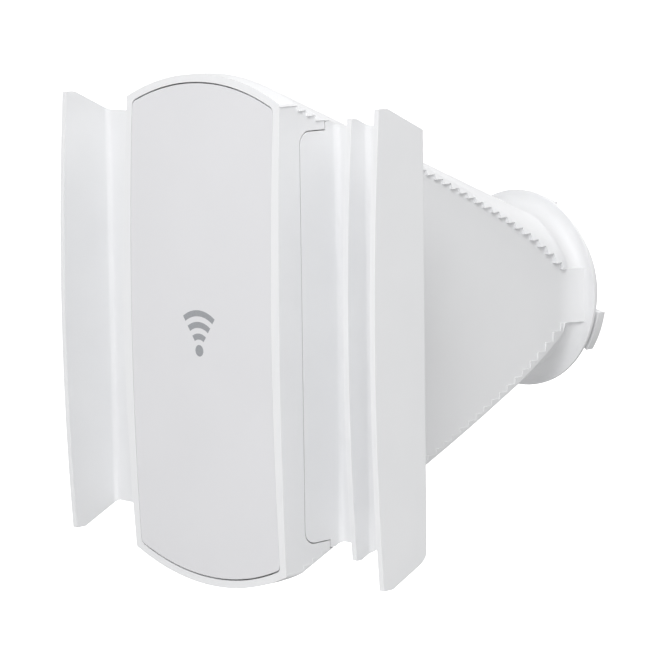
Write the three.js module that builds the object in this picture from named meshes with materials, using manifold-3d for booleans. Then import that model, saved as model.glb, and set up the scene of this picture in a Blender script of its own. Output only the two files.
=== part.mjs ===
// Sector horn antenna of an outdoor wireless bridge: a white conical horn with
// flat, stepped sides, a cover over its mouth, a finned choke flange on each
// side, and a twist-lock ring behind its rear flange that holds the radio.
//
// Millimetres. +X is right seen from the front, +Y points to the rear along the
// horn's axis, +Z is up. The origin is on the axis, in the face that meets the
// radio, so the whole horn lies on the -Y side.

import * as THREE from 'three';
import { mergeVertices } from 'three/addons/utils/BufferGeometryUtils.js';
import Module from 'manifold-3d';

const wasm = await Module();
wasm.setup();

// ---------------------------------------------------------------- dimensions

const DEPTH = 217;              // radio face to the front corners of the outer fins
const CLEAR = 0.3;              // gap between pieces that touch
const FAR = 140;                // further out than any piece reaches
const AHEAD = -20;              // ahead of every piece
const PAST = 1;                 // how far a cutter or a joined piece runs past a face

// Horn body: a rim of constant radius, then a cone
const RIM_RADIUS = 119.3;
const CONE_APEX_RADIUS = 120.3; // the cone's radius carried forward to the fin corners
const CONE_SLOPE = 0.3906;      // radius lost for each millimetre to the rear
const WALL = 3.2;
const CROWN = 3.3;              // how far the front bulges between top and bottom corners
const CORNER_Z = 106;           // height of the rim's corners
const RIM_CORNER_BEHIND = -7.1; // the rim stands proud of the fin corners
const RIM_HALF_WIDTH = 51.8;
const BODY_HALF_WIDTH = 39;     // flat side walls behind the choke flanges
const RIM_BLOCK_END = 31.5;     // where the wide front block steps in to the body
const RIM_BORE_RADIUS = 107;
const RIM_BORE_HALF_WIDTH = 40;

// Steps along the edge between the flat side and the cone
const STEP = 5.65;
const FIRST_STEP = 3.9;         // where the first step ends
const FRONT_STEPS = 4;          // steps along the rim block
const REAR_FIRST = 5;           // the first step behind the rim block
const LAST_STEP = 34;
const STEP_INSET = 1.4;         // the body's steps run this far inside the cone's radius
const SIDE_LIP = 1.6;           // overhang of the cone over the flat side, behind the rim block
const SIDE_LIP_REAR = 4.6;      // the same at LIP_END
const LIP_END = 200;
const RIM_LIP = 0.7;            // overhang over the sides of the rim block
const RIM_LIP_Z = 86;           // above this height
const LAST_STEP_Z = 13.6;
const POCKET_END = 206.6;
const POCKET_FILLET = 11;

// Rear flange of the horn
const FLANGE_RADIUS = 50;
const FLANGE_FRONT = 209.3;
const FLANGE_REAR = 211.3;
const FLARE_RADIUS = 6.25;
const REAR_WEB_FRONT = 206;
const REAR_HOLE_RADIUS = 30;

// Cover over the mouth
const COVER_RADIUS = 115;
const COVER_HALF_WIDTH = 47.7;
const COVER_CORNER = 3.4;
const COVER_THICKNESS = 3;
const COVER_GAP = 0.6;
const GASKET_THICKNESS = 0.8;
const GASKET_WIDTH = 2.2;
const LEDGE_DEPTH = COVER_THICKNESS + GASKET_THICKNESS + 2 * CLEAR;
const LEDGE_END = 10;           // behind the deepest part of the ledge

// Choke flanges
const FIN_THICKNESS = 3;
const FLOOR_THICKNESS = 2.3;    // of the outer floor
const OUTER_FIN_X = 107.3;      // outer face of the outer fin
const OUTER_FIN_Z = 107;
const OUTER_FIN_CROWN = 4.1;
const INNER_FIN_X = 74.2;       // outer face of the inner fin
const INNER_FIN_Z = 100.5;
const INNER_FIN_FRONT = 16.1;
const INNER_FIN_CROWN = 3.8;
const OUTER_FLOOR = 25.9;
const INNER_FLOOR = 28.4;
const END_SLOPE = 0.4747;       // the ends lean in by this much for each millimetre to the rear
const END_Z = 96.9;             // half height of the leaning ends at END_BEHIND
const END_BEHIND = 26.9;
const PLATE_FRONT = 5.3;
const PLATE_Z = 94.2;
const PLATE_CORNER = 6;
const PLATE_STEP = 21.3;        // behind this the plate is taller
const PLATE_TALL_Z = 98;
const PLATE_GAP = 0.6;
const OUTER_FIN_CORNER = 9;     // round at the lower rear corner of the outer fin
const CHOKE_BOSS_START = 43;

// Screws that hold the choke flanges, from inside the rim block
const CHOKE_SCREW_Z = [-70, 0, 70];
const CHOKE_SCREW_BEHIND = 17;
const SCREW_RADIUS = 1.5;
const SCREW_HEAD_RADIUS = 3;
const SCREW_HEAD = 2.2;
const BOSS_RADIUS = 3.5;

// Metal horn inside the body
const FUNNEL_FRONT = -0.1;
const FUNNEL_PLATE = 2;
const FUNNEL_WALL = 1.6;
const FUNNEL_MOUTH_RADIUS = 104;
const FUNNEL_HALF_WIDTH = 31.5;
const FUNNEL_END = 186;
const FUNNEL_SCREWS = [[42.4, 62], [-42.4, 62], [-42.4, -62], [42.4, -62]];
const FUNNEL_SCREW_TIP = 12;
const FUNNEL_SCREW_HEAD_RADIUS = 2.4;
const FUNNEL_SEAT = FUNNEL_FRONT + FUNNEL_PLATE + CLEAR;
const SEAT_RADIUS = COVER_RADIUS - 3.4;
const SEAT_HALF_WIDTH = COVER_HALF_WIDTH - 2.6;
const SEAT_CLEAR = 0.4;

// Round waveguide between the metal horn and the radio
const GUIDE_RADIUS = 22;
const GUIDE_OUTER = 24.5;
const GUIDE_FLANGE_RADIUS = 33;
const GUIDE_FLANGE = 3;
const GUIDE_START = FUNNEL_END + CLEAR;
const GUIDE_SCREW_CIRCLE = 29;
const GUIDE_SCREW_ANGLES = [45, 135, 225, 315];

// Breather that drains the space behind the cover, at the bottom of the rim
const VENT_BEHIND = 12;
const VENT_RADIUS = 2.6;
const VENT_HEAD_RADIUS = 4.2;
const VENT_HEAD = 1.9;
const VENT_HEAD_Z = 112.4;
const VENT_BORE = 0.8;

// Collar that the lock ring turns on, and the ring itself
const COLLAR_NECK_RADIUS = 38.7;
const COLLAR_HEAD_RADIUS = 41.2;
const COLLAR_HEAD = 1.9;
const COLLAR_SPIGOT = 4;
const COLLAR_SCREW_CIRCLE = 34.2;
const COLLAR_SCREW_ANGLES = [62, 182, 302];
const PIN_ANGLES = [32, 212];
const PIN_RADIUS = 1.5;
const PIN_DEPTH = 4;
const PIN_PROUD = 1.6;
const SEAL_CIRCLE = 28.4;
const SEAL_RADIUS = 1.3;
const SEAL_GROOVE = 2;
const RING_FRONT = 213.3;
const RING_RADIUS = 43.2;
const RING_REAR_RADIUS = 42.3;
const RING_RIB = 1.5;
const RING_CLEAR = 0.4;         // room that the ring turns in
const RING_LUG_END = 218.2;
const RING_REAR = 220.6;
const HOOK_DEPTH = 1.4;
const HOOK_REACH = 37.6;
const HOOK_ANGLES = [90, 210, 330];
const HOOK_SPAN = 28;
const NOTCH_SPAN = 36;
const SIDE_LUG_RADIUS = 50.2;
const TOP_LUG_RADIUS = 47.4;
const LUGS = [
  { from: 68, to: 112, radius: TOP_LUG_RADIUS },
  { from: -35, to: -10.5, radius: SIDE_LUG_RADIUS },
  { from: 190.5, to: 215, radius: SIDE_LUG_RADIUS },
];

// Wave washer that gives the lock ring its friction
const WASHER_WAVES = 3;
const WASHER_LIFT = 0.35;
const WASHER_THICKNESS = 0.5;

// Facets
const BODY_FACETS = 64;
const RING_FACETS = 48;
const SCREW_FACETS = 10;
const ROWS = 12;
const SECTOR_FACET = 7.5;       // degrees

// ------------------------------------------------------------------ helpers

const rad = THREE.MathUtils.degToRad;

// World Y of a place given as a distance behind the outer fins' front corners.
const yAt = (behind) => behind - DEPTH;

const coneRadius = (behind) => CONE_APEX_RADIUS - CONE_SLOPE * behind;

const onCircle = (radius, angle) => [radius * Math.cos(rad(angle)), radius * Math.sin(rad(angle))];

// How far the crowned front stands behind its foremost line, at height z.
const crownDrop = (z, crown, cornerZ) => crown * (z / cornerZ) ** 2;

// A closed geometry as a solid that can be cut and joined.
function solid(geometry) {
  const bare = geometry.clone();
  bare.deleteAttribute('normal');
  bare.deleteAttribute('uv');
  const welded = mergeVertices(bare, 1e-4);
  const index = welded.index.array;
  const triangles = [];
  for (let i = 0; i < index.length; i += 3) {
    const [a, b, c] = [index[i], index[i + 1], index[i + 2]];
    if (a !== b && b !== c && c !== a) triangles.push(a, b, c);
  }
  return new wasm.Manifold(new wasm.Mesh({
    numProp: 3,
    vertProperties: new Float32Array(welded.attributes.position.array),
    triVerts: new Uint32Array(triangles),
  }));
}

// Outline points as [u, v] pairs, extruded and laid along one axis.
function prism(points, length, basis, origin) {
  const shape = new THREE.Shape(points.map(([u, v]) => new THREE.Vector2(u, v)));
  const geometry = new THREE.ExtrudeGeometry(shape, { depth: length, bevelEnabled: false });
  geometry.applyMatrix4(new THREE.Matrix4().makeBasis(...basis));
  geometry.translate(...origin);
  return solid(geometry);
}

const AXIS_X = new THREE.Vector3(1, 0, 0);
const AXIS_Y = new THREE.Vector3(0, 1, 0);
const AXIS_Z = new THREE.Vector3(0, 0, 1);
const AXIS_MINUS_Y = new THREE.Vector3(0, -1, 0);

// Side view outline [behind, z] between two X planes.
const sideSlab = (points, x0, x1) => prism(
  points.map(([behind, z]) => [yAt(behind), z]), x1 - x0, [AXIS_Y, AXIS_Z, AXIS_X], [x0, 0, 0]);

// Front view outline [x, z] between two distances behind the fin corners.
const frontSlab = (points, from, to) => prism(
  points, to - from, [AXIS_X, AXIS_Z, AXIS_MINUS_Y], [0, yAt(to), 0]);

// Plan view outline [x, behind] between two heights.
const planSlab = (points, z0, z1) => prism(
  points.map(([x, behind]) => [x, yAt(behind)]), z1 - z0, [AXIS_X, AXIS_Y, AXIS_Z], [0, 0, z0]);

const block = (x0, x1, from, to, z0, z1) => sideSlab(
  [[from, z0], [to, z0], [to, z1], [from, z1]], x0, x1);

// Closed profile [radius, behind] turned about the horn's axis.
function turned(profile, facets = BODY_FACETS) {
  const points = profile.map(([radius, behind]) => new THREE.Vector2(radius, yAt(behind)));
  if (profile[0][0] > 0) points.push(points[0].clone());
  return solid(new THREE.LatheGeometry(points, facets));
}

const disc = (radius, from, to, facets) => turned(
  [[0, from], [radius, from], [radius, to], [0, to]], facets);

const tube = (inner, outer, from, to, facets) => turned(
  [[inner, from], [outer, from], [outer, to], [inner, to]], facets);

// Cylinder along Y at x, z, along X at behind, z, or along Z at behind on the middle plane.
function rodY(x, z, radius, from, to) {
  const geometry = new THREE.CylinderGeometry(radius, radius, to - from, SCREW_FACETS);
  geometry.translate(x, yAt((from + to) / 2), z);
  return solid(geometry);
}

function rodX(behind, z, radius, x0, x1) {
  const geometry = new THREE.CylinderGeometry(radius, radius, x1 - x0, SCREW_FACETS);
  geometry.rotateZ(-Math.PI / 2);
  geometry.translate((x0 + x1) / 2, yAt(behind), z);
  return solid(geometry);
}

function rodZ(behind, radius, z0, z1) {
  const geometry = new THREE.CylinderGeometry(radius, radius, z1 - z0, SCREW_FACETS);
  geometry.rotateX(Math.PI / 2);
  geometry.translate(0, yAt(behind), (z0 + z1) / 2);
  return solid(geometry);
}

// Sector of a ring, by angles measured from +X towards +Z.
function sector(inner, outer, fromDeg, toDeg, from, to) {
  const count = Math.ceil((toDeg - fromDeg) / SECTOR_FACET);
  const arc = (radius, start, end) => Array.from({ length: count + 1 }, (_, i) => {
    const angle = rad(start + (end - start) * i / count);
    return [radius * Math.cos(angle), radius * Math.sin(angle)];
  });
  return frontSlab([...arc(outer, fromDeg, toDeg), ...arc(inner, toDeg, fromDeg)], from, to);
}

// Circle of the given radius cut off flat at both sides, with rounded corners.
function mouthOutline(radius, halfWidth, corner) {
  const reach = radius - corner;
  const cornerX = halfWidth - corner;
  const cornerZ = Math.sqrt(reach ** 2 - cornerX ** 2);
  const lean = Math.atan2(cornerZ, cornerX);
  const quarter = [];
  const CORNER_POINTS = 4;
  for (let i = 0; i <= CORNER_POINTS; i += 1) {
    const angle = lean * i / CORNER_POINTS;
    quarter.push([cornerX + corner * Math.cos(angle), cornerZ + corner * Math.sin(angle)]);
  }
  const ARC_POINTS = 7;
  for (let i = 1; i <= ARC_POINTS; i += 1) {
    const angle = lean + (Math.PI / 2 - lean) * i / ARC_POINTS;
    quarter.push([radius * Math.cos(angle), radius * Math.sin(angle)]);
  }
  const top = [...quarter, ...quarter.slice(0, -1).reverse().map(([x, z]) => [-x, z])];
  return [...top, ...top.map(([x, z]) => [-x, -z])];
}

// Side view of a layer between two depths under the crowned front.
function crownedLayer(depth0, depth1) {
  const reach = RIM_RADIUS + 6;
  const rows = Array.from({ length: ROWS + 1 }, (_, i) => -reach + 2 * reach * i / ROWS);
  const front = RIM_CORNER_BEHIND - CROWN;
  const edge = (z, depth) => [front + crownDrop(z, CROWN, CORNER_Z) + depth, z];
  const points = [...rows.map((z) => edge(z, depth1)), ...rows.reverse().map((z) => edge(z, depth0))];
  return sideSlab(points, -FAR, FAR);
}

const mirrored = (body) => body.mirror([1, 0, 0]);

// ------------------------------------------------------------------- pieces

// Outer line of the horn body: rim, cone, concave flare and flange edge.
function bodyProfile() {
  const lean = Math.atan(CONE_SLOPE);
  const flareStart = FLANGE_FRONT - FLARE_RADIUS * (1 + Math.sin(lean));
  const centreRadius = coneRadius(flareStart) + FLARE_RADIUS * Math.cos(lean);
  const centreBehind = FLANGE_FRONT - FLARE_RADIUS;
  const FLARE_POINTS = 8;
  const flare = Array.from({ length: FLARE_POINTS + 1 }, (_, i) => {
    const angle = -lean + (Math.PI / 2 + lean) * i / FLARE_POINTS;
    return [centreRadius - FLARE_RADIUS * Math.cos(angle), centreBehind + FLARE_RADIUS * Math.sin(angle)];
  });
  return [
    [0, AHEAD],
    [RIM_RADIUS, AHEAD],
    [RIM_RADIUS, (CONE_APEX_RADIUS - RIM_RADIUS) / CONE_SLOPE],
    ...flare,
    [FLANGE_RADIUS, FLANGE_FRONT],
    [FLANGE_RADIUS, FLANGE_REAR],
    [0, FLANGE_REAR],
  ];
}

// Height of the steps at a flat side, at the cone or just inside it.
const edgeHeight = (behind, halfWidth, inset) => Math.sqrt(
  (coneRadius(behind) - inset) ** 2 - halfWidth ** 2);

// Side view of the stepped cut, from one step to another.
function steppedOutline(firstStep, lastStep, halfWidth, inset, from, tail) {
  const upper = [];
  let start = from;
  for (let i = firstStep; i < lastStep; i += 1) {
    const end = FIRST_STEP + STEP * i;
    const height = edgeHeight(end, halfWidth, inset);
    upper.push([start, height], [end, height]);
    start = end;
  }
  upper.push(...tail(start));
  const lower = upper.map(([behind, z]) => [behind, -z]);
  return [...lower, ...upper.reverse()];
}

// The flat side behind the choke flange, ending in a concave fillet at the rear.
function bodySideCut() {
  const tail = (start) => [[start, LAST_STEP_Z], [POCKET_END, LAST_STEP_Z]];
  const outline = steppedOutline(
    REAR_FIRST, LAST_STEP + 1, BODY_HALF_WIDTH, STEP_INSET, RIM_BLOCK_END, tail);
  const FILLET_POINTS = 5;
  const fillet = Array.from({ length: FILLET_POINTS + 1 }, (_, i) => {
    const angle = Math.PI / 2 * i / FILLET_POINTS;
    return [
      BODY_HALF_WIDTH + POCKET_FILLET * (1 - Math.cos(angle)),
      POCKET_END - POCKET_FILLET * (1 - Math.sin(angle)),
    ];
  });
  const front = RIM_BLOCK_END - PAST;
  const plan = [[BODY_HALF_WIDTH, front], [FAR, front], [FAR, POCKET_END], ...fillet.reverse()];
  return sideSlab(outline, BODY_HALF_WIDTH - PAST, FAR).intersect(planSlab(plan, -FAR, FAR));
}

// Side view of a choke flange's base plate; grow widens it all round.
function plateOutline(grow, end) {
  const z = PLATE_Z + grow;
  const tall = PLATE_TALL_Z + grow;
  const front = PLATE_FRONT - grow;
  const step = PLATE_STEP - grow;
  const corner = PLATE_CORNER + grow;
  const CORNER_POINTS = 6;
  const round = Array.from({ length: CORNER_POINTS + 1 }, (_, i) => {
    const angle = Math.PI / 2 * i / CORNER_POINTS;
    return [front + corner * (1 - Math.sin(angle)), z - corner * (1 - Math.cos(angle))];
  });
  const upper = [...round.reverse(), [step, z], [step, tall], ...end(tall)];
  const lower = upper.map(([behind, height]) => [behind, -height]);
  return [...lower.reverse(), ...upper].reverse();
}

// Recess for a choke flange in the right side of the rim block.
const plateRecess = () => sideSlab(
  plateOutline(PLATE_GAP, (tall) => [[RIM_BLOCK_END + PAST, tall]]),
  RIM_HALF_WIDTH - FIN_THICKNESS - CLEAR, FAR);

function rimSideCut() {
  const treads = steppedOutline(0, FRONT_STEPS, RIM_HALF_WIDTH, 0, AHEAD, () => []);
  return sideSlab(treads, RIM_HALF_WIDTH, FAR);
}

// What lies outside the narrow lips over the right side.
function lipCut() {
  const lip = BODY_HALF_WIDTH + SIDE_LIP;
  const lipRear = BODY_HALF_WIDTH + SIDE_LIP_REAR;
  const bodyPlan = [[lip, RIM_BLOCK_END], [FAR, RIM_BLOCK_END], [FAR, LIP_END], [lipRear, LIP_END]];
  const rimSide = RIM_HALF_WIDTH + RIM_LIP;
  const rimPlan = [[rimSide, AHEAD], [FAR, AHEAD], [FAR, RIM_BLOCK_END], [rimSide, RIM_BLOCK_END]];
  return planSlab(bodyPlan, -FAR, FAR)
    .add(planSlab(rimPlan, RIM_LIP_Z, FAR))
    .add(planSlab(rimPlan, -FAR, -RIM_LIP_Z));
}

// Hollow of the horn body.
function bodyHollow() {
  const boreEnd = (CONE_APEX_RADIUS - WALL - RIM_BORE_RADIUS) / CONE_SLOPE;
  const tailStart = FLANGE_FRONT - FLARE_RADIUS * 2;
  const cone = turned([
    [0, AHEAD],
    [RIM_BORE_RADIUS, AHEAD],
    [RIM_BORE_RADIUS, boreEnd],
    [coneRadius(tailStart) - WALL, tailStart],
    [coneRadius(tailStart) - WALL, REAR_WEB_FRONT],
    [0, REAR_WEB_FRONT],
  ]);
  const frontPart = block(
    -RIM_BORE_HALF_WIDTH, RIM_BORE_HALF_WIDTH, AHEAD, RIM_BLOCK_END - WALL, -FAR, FAR);
  const inner = BODY_HALF_WIDTH - WALL;
  const rearPart = block(-inner, inner, AHEAD, REAR_WEB_FRONT, -FAR, FAR);
  return cone.intersect(frontPart.add(rearPart));
}

function hornShell() {
  let body = turned(bodyProfile()).intersect(crownedLayer(0, 2 * DEPTH));
  const coverRecess = frontSlab(
    mouthOutline(COVER_RADIUS + COVER_GAP, COVER_HALF_WIDTH + COVER_GAP, COVER_CORNER), AHEAD, LEDGE_END)
    .intersect(crownedLayer(AHEAD, LEDGE_DEPTH));
  const funnelSeat = frontSlab(
    mouthOutline(SEAT_RADIUS, SEAT_HALF_WIDTH, COVER_CORNER), AHEAD, FUNNEL_SEAT);
  for (const cut of [bodySideCut(), rimSideCut(), lipCut(), plateRecess()]) {
    body = body.subtract(cut).subtract(mirrored(cut));
  }
  body = body.subtract(coverRecess).subtract(funnelSeat).subtract(bodyHollow());
  body = body.subtract(disc(REAR_HOLE_RADIUS, REAR_WEB_FRONT - PAST, FLANGE_REAR + PAST, RING_FACETS));
  for (const z of CHOKE_SCREW_Z) {
    const hole = rodX(
      CHOKE_SCREW_BEHIND, z, SCREW_RADIUS + CLEAR, RIM_BORE_HALF_WIDTH - PAST, RIM_HALF_WIDTH);
    const counterbore = rodX(
      CHOKE_SCREW_BEHIND, z, BOSS_RADIUS + CLEAR, CHOKE_BOSS_START - CLEAR, RIM_HALF_WIDTH);
    const passage = hole.add(counterbore);
    body = body.subtract(passage).subtract(mirrored(passage));
  }
  for (const [x, z] of FUNNEL_SCREWS) {
    body = body.subtract(rodY(x, z, SCREW_RADIUS + CLEAR, FUNNEL_SEAT - PAST, FUNNEL_SCREW_TIP + PAST));
  }
  for (const angle of COLLAR_SCREW_ANGLES) {
    const [x, z] = onCircle(COLLAR_SCREW_CIRCLE, angle);
    body = body.subtract(rodY(x, z, SCREW_RADIUS + CLEAR, REAR_WEB_FRONT - PAST, FLANGE_REAR + PAST));
  }
  return body.subtract(ventPassage());
}

// Hole for the breather, with room for its head.
const ventPassage = () => rodZ(VENT_BEHIND, VENT_RADIUS + CLEAR, -FAR, -RIM_BORE_RADIUS + PAST)
  .add(rodZ(VENT_BEHIND, VENT_HEAD_RADIUS + CLEAR, -FAR, -VENT_HEAD_Z));

function ventPlug() {
  const headTop = -VENT_HEAD_Z - CLEAR;
  return rodZ(VENT_BEHIND, VENT_RADIUS, headTop - PAST, -RIM_BORE_RADIUS)
    .add(rodZ(VENT_BEHIND, VENT_HEAD_RADIUS, headTop - VENT_HEAD, headTop))
    .subtract(rodZ(VENT_BEHIND, VENT_BORE, headTop - VENT_HEAD - PAST, -RIM_BORE_RADIUS + PAST));
}

const radomeCover = () => frontSlab(
  mouthOutline(COVER_RADIUS, COVER_HALF_WIDTH, COVER_CORNER), AHEAD, LEDGE_END)
  .intersect(crownedLayer(0, COVER_THICKNESS));

function radomeGasket() {
  const outline = (inset) => mouthOutline(COVER_RADIUS - inset, COVER_HALF_WIDTH - inset, COVER_CORNER);
  const outer = frontSlab(outline(CLEAR), AHEAD, LEDGE_END);
  const inner = frontSlab(outline(GASKET_WIDTH), AHEAD - PAST, LEDGE_END + PAST);
  const top = COVER_THICKNESS + CLEAR;
  return outer.subtract(inner).intersect(crownedLayer(top, top + GASKET_THICKNESS));
}

// Height of a choke flange's leaning end at a distance behind the fin corners.
const endHeight = (behind) => END_Z + (END_BEHIND - behind) * END_SLOPE;
const endStart = (z) => END_BEHIND - (z - END_Z) / END_SLOPE;

// Arc that rounds the corner of an outline between two of its other points.
function roundedCorner(before, corner, after, radius) {
  const tip = new THREE.Vector2(...corner);
  const a = new THREE.Vector2(...before).sub(tip).normalize();
  const b = new THREE.Vector2(...after).sub(tip).normalize();
  const half = Math.acos(a.dot(b)) / 2;
  const centre = a.clone().add(b).setLength(radius / Math.sin(half)).add(tip);
  const start = a.multiplyScalar(radius / Math.tan(half)).add(tip).sub(centre).angle();
  const end = b.multiplyScalar(radius / Math.tan(half)).add(tip).sub(centre).angle();
  const turn = THREE.MathUtils.euclideanModulo(end - start + Math.PI, 2 * Math.PI) - Math.PI;
  const CORNER_POINTS = 4;
  return Array.from({ length: CORNER_POINTS + 1 }, (_, i) => {
    const angle = start + turn * i / CORNER_POINTS;
    return [centre.x + radius * Math.cos(angle), centre.y + radius * Math.sin(angle)];
  });
}

// Side view of a fin: crowned front edge, short level ends, then leaning ends.
function finOutline(front, halfHeight, crown, rear, lowerCorner) {
  const edge = Array.from({ length: ROWS + 1 }, (_, i) => {
    const z = halfHeight - 2 * halfHeight * i / ROWS;
    return [front - crown + crownDrop(z, crown, halfHeight), z];
  });
  const level = endStart(halfHeight);
  const rearZ = endHeight(rear);
  const lowEnd = [level, -halfHeight];
  const upperRear = [rear, rearZ];
  const lowerRear = lowerCorner > 0
    ? roundedCorner(lowEnd, [rear, -rearZ], upperRear, lowerCorner)
    : [[rear, -rearZ]];
  return [...edge, lowEnd, ...lowerRear, upperRear, [level, halfHeight]];
}

// Straight plate in the side view, with leaning ends.
const floorOutline = (front, rear) => [
  [front, -endHeight(front)], [rear, -endHeight(rear)], [rear, endHeight(rear)], [front, endHeight(front)]];

// Base plate with two upright fins, each joined to the next by a floor.
function chokeFlange() {
  const outerRear = OUTER_FLOOR + FLOOR_THICKNESS;
  const innerRear = INNER_FLOOR + FIN_THICKNESS;
  const plateInner = RIM_HALF_WIDTH - FIN_THICKNESS;
  const plate = sideSlab(
    plateOutline(0, (tall) => [[endStart(tall), tall], [innerRear, endHeight(innerRear)]]),
    plateInner, RIM_HALF_WIDTH);
  const innerFin = sideSlab(
    finOutline(INNER_FIN_FRONT, INNER_FIN_Z, INNER_FIN_CROWN, innerRear, 0),
    INNER_FIN_X - FIN_THICKNESS, INNER_FIN_X);
  const outerFin = sideSlab(
    finOutline(0, OUTER_FIN_Z, OUTER_FIN_CROWN, outerRear, OUTER_FIN_CORNER),
    OUTER_FIN_X - FIN_THICKNESS, OUTER_FIN_X);
  const innerFloor = sideSlab(
    floorOutline(INNER_FLOOR, innerRear), RIM_HALF_WIDTH - PAST, INNER_FIN_X - PAST);
  const outerFloor = sideSlab(
    floorOutline(OUTER_FLOOR, outerRear), INNER_FIN_X - PAST, OUTER_FIN_X - PAST);
  let flange = plate.add(innerFin).add(outerFin).add(innerFloor).add(outerFloor);
  for (const z of CHOKE_SCREW_Z) {
    const boss = rodX(CHOKE_SCREW_BEHIND, z, BOSS_RADIUS, CHOKE_BOSS_START, plateInner + PAST);
    const hole = rodX(
      CHOKE_SCREW_BEHIND, z, SCREW_RADIUS + CLEAR, CHOKE_BOSS_START - PAST, plateInner + PAST);
    flange = flange.add(boss).subtract(hole);
  }
  return flange;
}

function chokeScrew(z) {
  const seat = RIM_BORE_HALF_WIDTH - CLEAR;
  const head = rodX(CHOKE_SCREW_BEHIND, z, SCREW_HEAD_RADIUS, seat - SCREW_HEAD, seat);
  const tip = RIM_HALF_WIDTH - FIN_THICKNESS + PAST - CLEAR;
  return head.add(rodX(CHOKE_SCREW_BEHIND, z, SCREW_RADIUS, seat - PAST, tip));
}

// Metal horn: flat sides, conical top and bottom, plate at the mouth, round plate at the throat.
function hornFunnel() {
  const mouth = FUNNEL_FRONT;
  const flared = (grow, from, to) => {
    const cone = turned([
      [0, from],
      [FUNNEL_MOUTH_RADIUS + grow, from],
      [GUIDE_RADIUS + grow, to],
      [0, to],
    ]);
    const half = FUNNEL_HALF_WIDTH + grow;
    return cone.intersect(block(-half, half, from - PAST, to + PAST, -FAR, FAR));
  };
  const plate = mouthOutline(SEAT_RADIUS - SEAT_CLEAR, SEAT_HALF_WIDTH - SEAT_CLEAR, COVER_CORNER);
  let funnel = flared(FUNNEL_WALL, mouth, FUNNEL_END)
    .add(frontSlab(plate, mouth, mouth + FUNNEL_PLATE))
    .add(disc(GUIDE_FLANGE_RADIUS, FUNNEL_END - GUIDE_FLANGE, FUNNEL_END, RING_FACETS));
  const SLIVER = 0.01;
  funnel = funnel.subtract(flared(0, mouth - SLIVER, FUNNEL_END + SLIVER))
    .subtract(disc(GUIDE_RADIUS, FUNNEL_END - GUIDE_FLANGE, FUNNEL_END + PAST, RING_FACETS));
  for (const [x, z] of FUNNEL_SCREWS) {
    funnel = funnel.subtract(
      rodY(x, z, SCREW_RADIUS + CLEAR, mouth - PAST, mouth + FUNNEL_PLATE + PAST));
  }
  for (const angle of GUIDE_SCREW_ANGLES) {
    const [x, z] = onCircle(GUIDE_SCREW_CIRCLE, angle);
    funnel = funnel.subtract(
      rodY(x, z, SCREW_RADIUS + CLEAR, FUNNEL_END - GUIDE_FLANGE - PAST, FUNNEL_END + PAST));
  }
  return funnel;
}

function funnelScrew([x, z]) {
  const top = FUNNEL_FRONT - CLEAR;
  return rodY(x, z, FUNNEL_SCREW_HEAD_RADIUS, top - SCREW_HEAD, top)
    .add(rodY(x, z, SCREW_RADIUS, top - PAST, FUNNEL_SCREW_TIP));
}

// Round tube with a plate at its front, which the metal horn's throat is screwed to.
function throatWaveguide() {
  let guide = turned([
    [GUIDE_RADIUS, GUIDE_START],
    [GUIDE_FLANGE_RADIUS, GUIDE_START],
    [GUIDE_FLANGE_RADIUS, GUIDE_START + GUIDE_FLANGE],
    [GUIDE_OUTER, GUIDE_START + GUIDE_FLANGE],
    [GUIDE_OUTER, DEPTH],
    [GUIDE_RADIUS, DEPTH],
  ], RING_FACETS);
  for (const angle of GUIDE_SCREW_ANGLES) {
    const [x, z] = onCircle(GUIDE_SCREW_CIRCLE, angle);
    guide = guide.subtract(
      rodY(x, z, SCREW_RADIUS + CLEAR, GUIDE_START - PAST, GUIDE_START + GUIDE_FLANGE + PAST));
  }
  return guide;
}

function guideScrew(angle) {
  const [x, z] = onCircle(GUIDE_SCREW_CIRCLE, angle);
  const seat = GUIDE_START + GUIDE_FLANGE + CLEAR;
  return rodY(x, z, SCREW_HEAD_RADIUS, seat, seat + SCREW_HEAD)
    .add(rodY(x, z, SCREW_RADIUS, FUNNEL_END - GUIDE_FLANGE - 2 * PAST, seat + PAST));
}

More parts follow.
